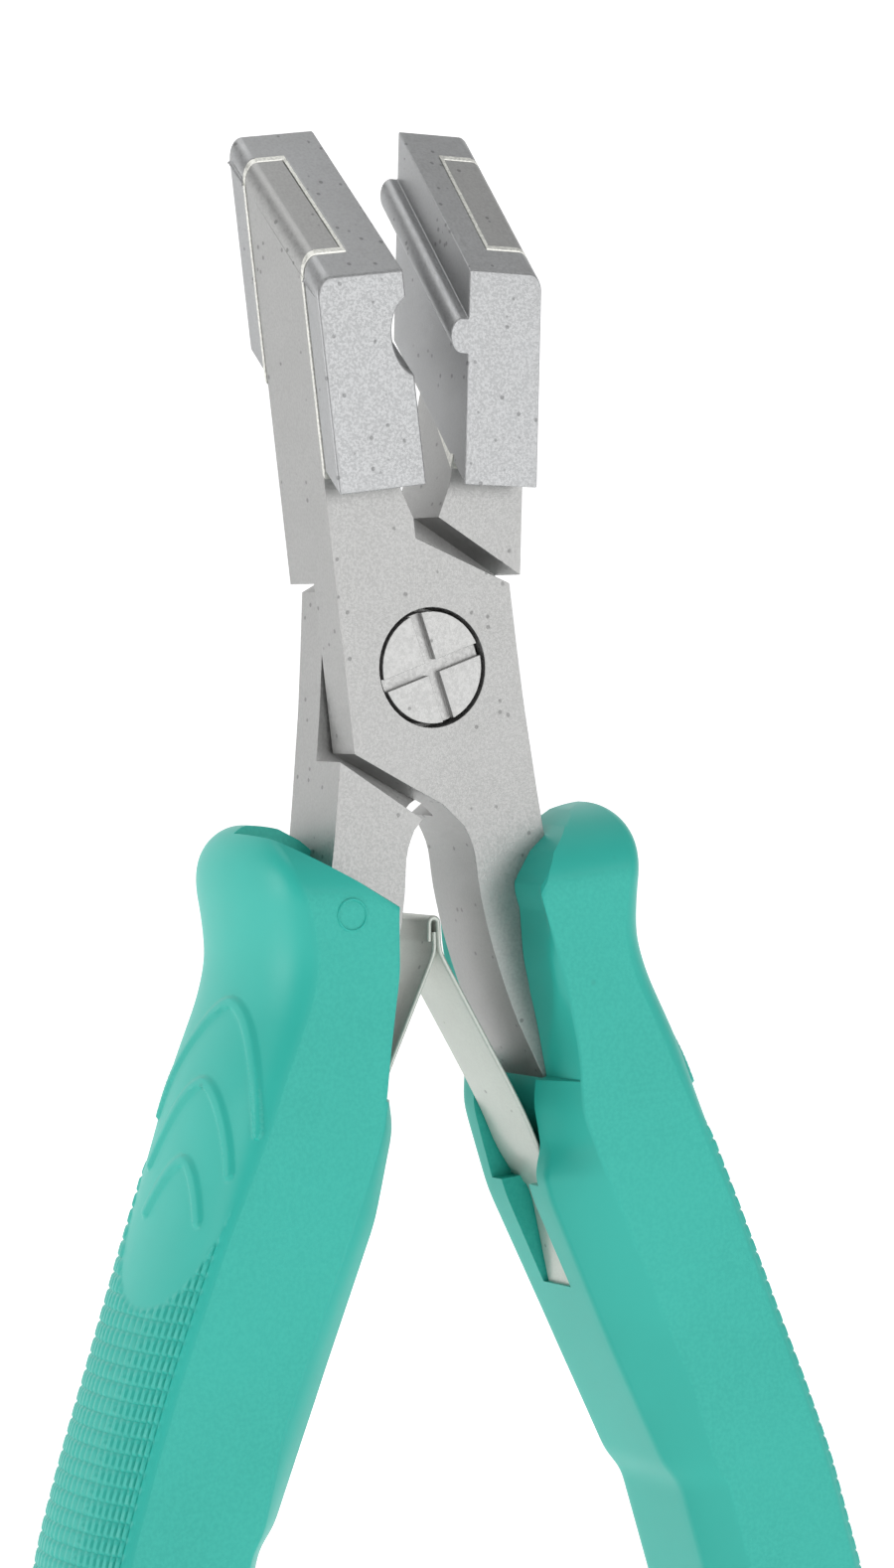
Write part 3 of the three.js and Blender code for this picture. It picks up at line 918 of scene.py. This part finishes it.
@dataclass
class Grips:
    """The two cushioned grips: lofted bodies with relief, cut open for the steel and springs."""

    finish: Finish = Moulded("moulded_teal", (40, 177, 163))
    top: float = -11.5
    bottom: float = -109.0
    pad_top: float = -30.6
    crown: tuple[float, float] = (12.6, 5.5)
    tail: tuple[float, float] = (22.9, 5.5)
    crown_depth_share: float = 0.1
    tail_depth_share: float = 0.35
    face_edge: Table = (
        (-10, 12.9), (-13, 12.7), (-16, 11.8), (-18.5, 11.0), (-21, 10.5), (-24, 11.1), (-28, 12.6),
        (-33, 14.3), (-40.5, 17.2), (-49, 19.9), (-56, 22.0), (-62, 23.6), (-71, 25.2), (-80, 26.2),
        (-90, 26.7), (-100, 26.3), (-110, 25.0),
    )
    side_bulge: Table = ((-12, 2.4), (-20, 3.5), (-30, 3.5), (-40, 2.2), (-110, 2.0))
    half_depth: Table = ((-10, 8.0), (-33, 8.0), (-50, 7.0), (-110, 7.0))
    front_cheek: Table = (
        (-10, 4.0), (-17, 4.2), (-22.8, 5.5), (-28.4, 6.0), (-33, 5.8), (-38, 7.4), (-44.5, 9.6),
        (-54, 12.8), (-60.8, 14.2), (-61.8, 15.0), (-68.7, 16.1), (-80, 18.2), (-90, 19.6),
        (-110, 21.0),
    )
    back_cheek: Table = (
        (-10, 4.2), (-17, 4.5), (-21.6, 4.3), (-27, 4.9), (-31, 5.2), (-33, 5.5), (-38, 7.0),
        (-44.5, 9.1), (-54, 12.3), (-60.8, 13.7), (-61.8, 14.5), (-68.7, 15.6), (-80, 17.7),
        (-90, 19.1), (-110, 20.5),
    )
    pad_face: Table = (
        (-30.6, 3.6), (-31.0, 3.4), (-32.7, 3.1), (-37, 3.8), (-39.3, 4.2), (-51.5, 8.3),
        (-60.8, 11.6), (-61.8, 12.6), (-70, 14.1), (-80, 15.8), (-90, 17.2), (-110, 19.4),
    )
    undercut: float = 0.45
    tab: float = 1.25
    lip: float = 0.6
    slope_in: float = 3.6
    pad_reach: float = 0.625
    tab_reach: tuple[float, float] = (0.425, 0.2)
    pad_corner: float = 0.5
    edge_corner: tuple[float, float] = (0.22, 0.35)
    edge_skip: tuple[float, float] = (0.32, 0.45)
    middle_z: float = -60.0
    side_steps: int = 100
    cells_across: int = 25
    cell_height: float = 1.13
    cell_rise: float = 0.17
    grid_top: float = -34.5
    arch_top: float = -22.6
    arch_foot: float = -41.0
    arch_rise: float = 0.24
    arch_width: float = 0.72
    arches: tuple[tuple[float, ...], ...] = (
        (1.2, -24.2, 1.37, 8.2, 8.6), (1.15, -29.8, 1.25, 6.0, 5.8), (1.0, -35.3, 1.05, 3.7, 3.7),
    )
    oval: tuple[float, float, float, float] = (0.8, -30.0, 7.0, 15.2)
    mark: tuple[float, float, float] = (-8.37, -8.0, -17.46)
    mark_radius: float = 1.1
    mark_line: float = 0.1

    def build(self) -> None:
        """Make both grips, the left one as the right one's twin half a turn round."""
        teal = self.finish.build()
        for body, name in ((Body.FRONT, "right_grip"), (Body.BACK, "left_grip")):
            flip = body is Body.BACK
            rings, poles = self.surface()
            grip = loft(name + "_moulding", at_rest(rings, body, flip), at_rest(poles, body, flip))
            for tool in self.cutters(body, flip):
                combine(grip, tool, Cut.REMOVE)
            shade(grip, 38.0)
            dress(grip, teal, Slot.GRIP, name)
            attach(grip, body.value)
        ring = self.ring()
        dress(ring, teal, Slot.GRIP)
        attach(ring, Body.BACK.value)

    def ring(self) -> bpy.types.Object:
        """A plain ejector-pin ring, half sunk in the left grip's face.

        A small circle (v) is carried round a larger one (u) that lies in the face.

        Returns:
            The ring's object.
        """
        u = np.linspace(0, WHOLE_TURN, 60, endpoint=False)[:, None]
        v = np.linspace(0, WHOLE_TURN, 10, endpoint=False)[None, :]
        reach = self.mark_radius + self.mark_line * np.cos(v)
        x, y, z = self.mark
        out = y + self.mark_line * np.sin(v) + 0 * u
        points = np.stack([x + reach * np.cos(u), out, z + reach * np.sin(u)], -1)
        number = np.arange(u.size * v.size).reshape(u.size, v.size)
        ahead, over = np.roll(number, -1, 0), np.roll(number, -1, 1)
        quads = np.stack([number, ahead, np.roll(ahead, -1, 1), over], -1).reshape(-1, 4)
        ring = put_mesh("left_grip_pin_mark", at_rest(points, Body.BACK), quads.tolist())
        shade(ring)
        return ring

    def heights(self) -> np.ndarray:
        """Place the rows, close together at the round ends and wherever there is relief.

        Returns:
            Heights from the top down.
        """
        turn = np.linspace(0.06, math.pi / 2, 26)
        crown = self.top - self.crown[1] * (1 - np.cos(turn))
        upper = np.linspace(crown[-1], self.arch_top, 28)[1:]
        arches = np.linspace(self.arch_top, self.grid_top, 84)[1:]
        step = self.cell_height / 6
        tail_top = self.bottom + self.tail[1]
        lower = np.arange(self.grid_top - step, tail_top, -step)
        turn = np.linspace(math.pi / 2, 0.06, 30)
        tail = self.bottom + self.tail[1] * (1 - np.cos(turn))
        return np.concatenate([crown, upper, arches, lower, tail])

    def table(self, pairs: Table, z: np.ndarray, blur: float = 0.7) -> np.ndarray:
        """Read a table, with its corners blurred.

        The value is the straight-line reading averaged over nine nearby heights with bell weights.

        Args:
            pairs: heights and values, from the top down.
            z: heights to read at.
            blur: spacing of the nine heights.

        Returns:
            A value per height.
        """
        known = np.array(pairs, float)[::-1]
        shift = np.linspace(-2.0, 2.0, 9)
        weight = np.exp(-shift * shift / 2)
        spread = z[..., None] + shift * blur
        read = np.interp(spread, known[:, 0], known[:, 1])
        return (read * weight).sum(-1) / weight.sum()

    def rounding(self, z: np.ndarray) -> np.ndarray:
        """How much of its full section the grip has.

        Args:
            z: heights.

        Returns:
            0 to 1 per height, a quarter of an ellipse at the crown and another at the tail.
        """
        from_top = np.clip((self.top - z) / self.crown[1], 0, 1)
        from_bottom = np.clip((z - self.bottom) / self.tail[1], 0, 1)
        return np.sqrt(np.maximum(1 - (1 - np.minimum(from_top, from_bottom)) ** 2, 0))

    def surface(self) -> tuple[np.ndarray, np.ndarray]:
        """The grip's outside as rings of points, and its two poles.

        Each ring runs from the middle of the pad along the front slope and cheek, round the outer
        side as half an ellipse whose depth is the grip's, and back along the rear cheek and slope.
        Its corners are parabolas. The rings shrink towards a centre line at both ends.

        Returns:
            Rings of shape (rows, columns, 3) and poles of shape (2, 3).
        """
        z = self.heights()
        depth = self.table(self.half_depth, z, 1.0)
        edge, bulge = self.table(self.face_edge, z, 1.0), self.table(self.side_bulge, z, 1.0)
        front, back = self.table(self.front_cheek, z), self.table(self.back_cheek, z)
        pad = self.table(self.pad_face, z)
        is_open = z >= self.pad_top
        wall = np.minimum(front, back) + self.undercut
        inner = np.where(is_open, wall, pad)
        tab = np.where(is_open, wall, pad + self.tab * smoothstep(-38.0, -35.0, z))
        slope_half = depth - self.lip - self.slope_in * smoothstep(-23.0, self.pad_top, z)
        least_reach, more_reach = self.tab_reach
        tab_half = (least_reach + more_reach * smoothstep(-33.0, -38.0, z)) * depth
        front_half = np.where(is_open, slope_half, tab_half)
        back_half = np.where(is_open, slope_half, self.pad_reach * depth)
        corners = [
            np.stack(pair, -1)
            for pair in (
                (inner, 0 * z), (tab, -front_half), (front, -depth), (edge, -depth),
                (edge, depth), (back, depth), (inner, back_half), (inner, 0 * z),
            )
        ]
        soft, crisp, less_crisp = self.pad_corner, *self.edge_corner
        run = [self.line(corners[0], corners[1], 6, 0.0, soft)]
        run += [self.corner(*corners[0:3], soft), self.corner(*corners[1:4], crisp)]
        run += [self.line(corners[2], corners[3], 10, self.edge_skip[0], 0.0)]
        share = np.linspace(0, 1, self.side_steps + 1)[1:-1]
        turn = HALF_TURN * (share - 0.5)
        wide, deep, swell = edge[:, None], depth[:, None], bulge[:, None]
        side = np.stack([wide + swell * np.cos(turn), deep * np.sin(turn)], -1)
        outward = np.stack([deep * np.cos(turn), swell * np.sin(turn)], -1)
        outward /= np.linalg.norm(outward, axis=-1)[..., None]
        relief = self.relief(share, z, depth)
        side += outward * relief[..., None]
        run += [side, self.line(corners[4], corners[5], 10, 0.0, self.edge_skip[1])]
        run += [self.corner(*corners[4:7], less_crisp), self.corner(*corners[5:8], soft)]
        run += [self.line(corners[6], corners[7], 6, soft, 0.0)[:, :-1]]
        flat = np.concatenate(run, axis=1)
        scale = self.rounding(z)
        centre = np.where(z > self.middle_z, self.crown[0], self.tail[0])
        x = centre[:, None] + (flat[..., 0] - centre[:, None]) * scale[:, None]
        least = np.where(z > self.middle_z, self.crown_depth_share, self.tail_depth_share)
        share_y = least + (1 - least) * scale
        y = flat[..., 1] * share_y[:, None]
        rings = np.stack([x, y, np.broadcast_to(z[:, None], x.shape)], -1)
        poles = np.array([[self.crown[0], 0, self.top], [self.tail[0], 0, self.bottom]])
        return rings, poles

    def line(
        self, a: np.ndarray, b: np.ndarray, count: int, skip: float, stop: float
    ) -> np.ndarray:
        """Points along the straight lines from a to b, one line per row.

        Args:
            a: starts, shape (rows, 2).
            b: ends, shape (rows, 2).
            count: points per line.
            skip: how far after a they begin.
            stop: how far before b they end.

        Returns:
            Shape (rows, count, 2).
        """
        length = np.maximum(np.linalg.norm(b - a, axis=-1), 1e-6)
        low = np.minimum(skip / length, 0.45)[:, None]
        high = 1 - np.minimum(stop / length, 0.45)[:, None]
        t = low + (high - low) * np.linspace(0, 1, count)[None, :]
        return a[:, None] + (b - a)[:, None] * t[..., None]

    def corner(self, a: np.ndarray, b: np.ndarray, c: np.ndarray, reach: float) -> np.ndarray:
        """Round the corner at b with a parabola.

        Args:
            a: corner before, shape (rows, 2).
            b: the corner.
            c: corner after.
            reach: how far from b the parabola starts and ends.

        Returns:
            The points between its ends, shape (rows, 4, 2).
        """
        to_a, to_c = a - b, c - b
        to_a = to_a / np.maximum(np.linalg.norm(to_a, axis=-1), reach * 2)[:, None]
        to_c = to_c / np.maximum(np.linalg.norm(to_c, axis=-1), reach * 2)[:, None]
        t = np.linspace(0, 1, 6)[None, 1:-1, None]
        first, last = (b + reach * to_a)[:, None], (b + reach * to_c)[:, None]
        return (1 - t) ** 2 * first + 2 * t * (1 - t) * b[:, None] + t**2 * last

    def relief(self, share: np.ndarray, z: np.ndarray, depth: np.ndarray) -> np.ndarray:
        """Height of the moulded relief on the outer side.

        Small raised rectangles stand in rows and columns below a smooth oval for the thumb, and
        raised bands bend over it as nested arches.

        Args:
            share: 0 at the front cheek to 1 at the back one, per column.
            z: per row.
            depth: the grip's half depth per row.

        Returns:
            Heights in millimetres, shape (rows, columns).
        """
        across = (share[None, :] - 0.5) * (2.18 * depth[:, None])
        height = np.broadcast_to(z[:, None], across.shape)
        column = np.abs((share * self.cells_across) % 1.0 - 0.5)
        row = np.abs(((self.grid_top - z) / self.cell_height) % 1.0 - 0.5)
        cell = smoothstep(0.5, 0.26, column)[None, :] * smoothstep(0.5, 0.3, row)[:, None]
        middle, centre, wide, tall = self.oval
        reach = np.hypot((across - middle) / wide, (height - centre) / tall)
        outside = smoothstep(1.0, 1.02, reach) * smoothstep(self.grid_top, -37.0, height)
        inside = smoothstep(0.06, 0.15, share) * smoothstep(0.94, 0.85, share)
        tail = smoothstep(self.bottom + 2.0, self.bottom + 4.5, height)
        raised = self.cell_rise * cell * outside * inside[None, :] * tail
        near = (z < self.arch_top) & (z > self.arch_foot)
        for arch in self.arches:
            away = self.distance(across[near], height[near], self.arch_line(*arch))
            band = smoothstep(self.arch_width / 2 + 0.09, self.arch_width / 2 - 0.09, away)
            raised[near] = np.maximum(raised[near], self.arch_rise * band)
        return raised

    def arch_line(
        self, middle: float, apex: float, spread: float, left: float, right: float
    ) -> np.ndarray:
        """The middle line of one arch.

        Its inner edge lies spread times the 0.64th power of the drop to either side of the middle,
        and the middle line stands half a band outside that edge.

        Args:
            middle: the apex, across.
            apex: the apex, in height.
            spread: how wide it opens.
            left: how far its left leg drops.
            right: how far its right leg drops.

        Returns:
            Rows of distance across and height.
        """
        t = np.linspace(1.0, 0.0, 22) ** 1.6
        drop = np.concatenate([t * left, t[-2::-1] * right])
        sign = np.concatenate([-np.ones(len(t)), np.ones(len(t) - 1)])
        edge = np.column_stack([middle + sign * spread * drop**0.64, apex - drop])
        along = np.gradient(edge, axis=0)
        along /= np.linalg.norm(along, axis=1)[:, None]
        return edge + np.column_stack([-along[:, 1], along[:, 0]]) * self.arch_width / 2

    def distance(self, x: np.ndarray, z: np.ndarray, line: np.ndarray) -> np.ndarray:
        """Distance of each point to a broken line, over all its pieces at once.

        Args:
            x: across, any shape.
            z: height, the same shape.
            line: rows of distance across and height.

        Returns:
            Distances, in the shape of x.
        """
        point = np.stack([x, z], -1)[..., None, :]
        start, leg = line[:-1], line[1:] - line[:-1]
        t = ((point - start) * leg).sum(-1) / (leg * leg).sum(-1)
        nearest = start + np.clip(t, 0, 1)[..., None] * leg
        return np.linalg.norm(point - nearest, axis=-1).min(-1)

    def cutters(self, body: Body, flip: bool) -> list[bpy.types.Object]:
        """The solids that open the grip: sloping rims, the mouth round the steel, the spring's slot
        and the narrower trench under it.

        Args:
            body: the half that the grip belongs to.
            flip: for the left grip.

        Returns:
            The cutters, in the order of use.
        """
        front = [
            (-2, -8), (-2, -16.8), (4.2, -16.8), (6.3, -14.1), (8.6, -12.5), (11, -11.4),
            (13, -10.8), (13.5, -8),
        ]
        back = [(-2, -8), (-2, -16.8), (4.6, -16.8), (13.1, -12.3), (17, -11), (17.5, -8)]
        mouth = [(-2, -5), (-2, -30.6), (5.9, -30.6), (5, -24), (5, -5)]
        slot = [
            (0, -29), (0, -38.3), (7.7, -38.3), (7.2, -37.0), (6.5, -36.0), (5.7, -34.4),
            (5.3, -32.6), (5.4, -30.0),
        ]
        trench = [(0, -37), (0, -46.4), (10.9, -46.4), (8.3, -38.0), (8.0, -37.0)]
        flare = np.array([(-20.0, 0.35), (-8.0, 0.35), (-7.9, 0.12), (-7.62, 0.0), (0.0, 0.0)])
        plain = np.array([(-1.0, 0.0), (1.0, 0.0)])
        return [
            self.cutter(front, flare, body, flip),
            self.cutter(back, flare * [-1, 1], body, flip),
            self.cutter(mouth, plain * [3.54, 1], body, flip),
            self.cutter(slot, plain * [3.4, 1], body, flip),
            self.cutter(trench, plain * [2.0, 1], body, flip),
        ]

    def cutter(
        self, outline: Table, levels: np.ndarray, body: Body, flip: bool
    ) -> bpy.types.Object:
        """A solid whose outline in X and Z grows with depth.

        Args:
            outline: corners in order.
            levels: rows of Y and how far the outline is grown there.
            body: the half that it cuts.
            flip: for the left grip.

        Returns:
            The cutter's object.
        """
        ring = np.array(outline, float)
        before, after = np.roll(ring, 1, axis=0), np.roll(ring, -1, axis=0)
        legs = np.stack([ring - before, after - ring])
        legs /= np.linalg.norm(legs, axis=2)[..., None]
        away = np.column_stack([legs[..., 1].sum(0), -legs[..., 0].sum(0)])
        away /= np.maximum((away * away).sum(1) / 2, 0.4)[:, None]
        area = (ring[:, 0] * after[:, 1] - after[:, 0] * ring[:, 1]).sum()
        away *= np.sign(area)
        grown = ring[None] + away[None] * levels[:, 1, None, None]
        y = np.broadcast_to(levels[:, 0, None], grown.shape[:2])
        points = np.stack([grown[..., 0], y, grown[..., 1]], -1)
        return loft("cutter", at_rest(points, body, flip))


@dataclass
class Studio:
    """Pale sweep, soft lights and the camera."""

    paper: Finish = Matt("pale_paper", (246, 246, 246), glow=0.5)
    azimuth: float = -0.503
    elevation: float = 0.050
    roll: float = -0.043
    distance: float = 358.70
    aim: tuple[float, float] = (2.684, -8.566)
    focal_px: float = 5000.0
    long_side_px: float = 1578.0
    world_light: float = 0.46
    lamps: tuple[tuple[str, tuple[float, ...], float, float], ...] = (
        ("front", (260, -640, 180), 360, 1.02),
        ("left", (-620, 40, 160), 300, 1.05),
        ("top", (0, 0, 600), 300, 0.45),
    )

    def build(self) -> None:
        """Make the sweep, the lights and the camera."""
        self.sweep()
        world = bpy.data.worlds.new("studio")
        bpy.context.scene.world = world
        world.use_nodes = True
        world.node_tree.nodes["Background"].inputs["Color"].default_value = (1, 1, 1, 1)
        world.node_tree.nodes["Background"].inputs["Strength"].default_value = self.world_light
        for name, place, size, power in self.lamps:
            self.lamp(name, place, size, power)
        self.camera()
        bpy.context.scene.view_settings.view_transform = "Standard"

    def sweep(self) -> None:
        """A floor that curves up into a backdrop: a profile in Y and Z carried along X."""
        turn = np.linspace(0, math.pi / 2, 16)
        bend = np.column_stack([900 + 400 * np.sin(turn), 400 * (1 - np.cos(turn))])
        profile = np.vstack([[[-2500.0, 0.0]], bend, [[1300.0, 2600.0]]])
        x = np.linspace(-2600, 2600, 9)
        across = np.repeat(x[:, None, None], len(profile), axis=1)
        along = np.repeat(profile[None], len(x), axis=0)
        grid = np.concatenate([across, along], -1)
        number = np.arange(len(x) * len(profile)).reshape(grid.shape[:2])
        quads = np.stack([number[:-1, :-1], number[1:, :-1], number[1:, 1:], number[:-1, 1:]], -1)
        mesh = bpy.data.meshes.new("sweep")
        mesh.from_pydata((grid.reshape(-1, 3) * MM).tolist(), [], quads.reshape(-1, 4).tolist())
        floor = bpy.data.objects.new("sweep", mesh)
        bpy.context.scene.collection.objects.link(floor)
        mesh.materials.append(self.paper.build())
        shade(floor)

    def lamp(self, name: str, place: tuple[float, ...], size: float, power: float) -> None:
        """A square soft light that faces the pliers' joint.

        Args:
            name: the light's name.
            place: where it stands, in millimetres in the part's frame.
            size: its side, in millimetres.
            power: in watts.
        """
        data = bpy.data.lights.new(name, "AREA")
        data.size = size * MM
        data.energy = power
        lamp = bpy.data.objects.new(name, data)
        bpy.context.scene.collection.objects.link(lamp)
        lamp.location = Vector(place) * MM
        aim = Vector(PIVOT) - lamp.location
        lamp.rotation_mode = "QUATERNION"
        lamp.rotation_quaternion = aim.to_track_quat("-Z", "Y")

    def camera(self) -> None:
        """A long lens low on the left, turned a little about its own axis."""
        az, el, roll = self.azimuth, self.elevation, self.roll
        back = Vector((math.sin(az) * math.cos(el), -math.cos(az) * math.cos(el), math.sin(el)))
        right = Vector((math.cos(az), math.sin(az), 0.0))
        up = back.cross(right)
        across = right * math.cos(roll) + up * math.sin(roll)
        upright = up * math.cos(roll) - right * math.sin(roll)
        data = bpy.data.cameras.new("camera")
        data.sensor_width = 36.0
        data.lens = self.focal_px / self.long_side_px * data.sensor_width
        data.clip_start = 0.01
        camera = bpy.data.objects.new("camera", data)
        bpy.context.scene.collection.objects.link(camera)
        aim = Vector((self.aim[0], 0.0, self.aim[1])) * MM + Vector(PIVOT)
        turn = Matrix((across, upright, back)).transposed().to_4x4()
        camera.matrix_world = Matrix.Translation(aim + back * self.distance * MM) @ turn
        bpy.context.scene.camera = camera


def main() -> None:
    """Build every sub-assembly in order."""
    logging.basicConfig(level=logging.INFO, format="%(name)s: %(message)s")
    for part in (Studio(), Steelwork(), Fastenings(), LeafSprings(), Grips()):
        LOG.info("building %s", type(part).__name__)
        part.build()


if __name__ == "__main__":
    main()
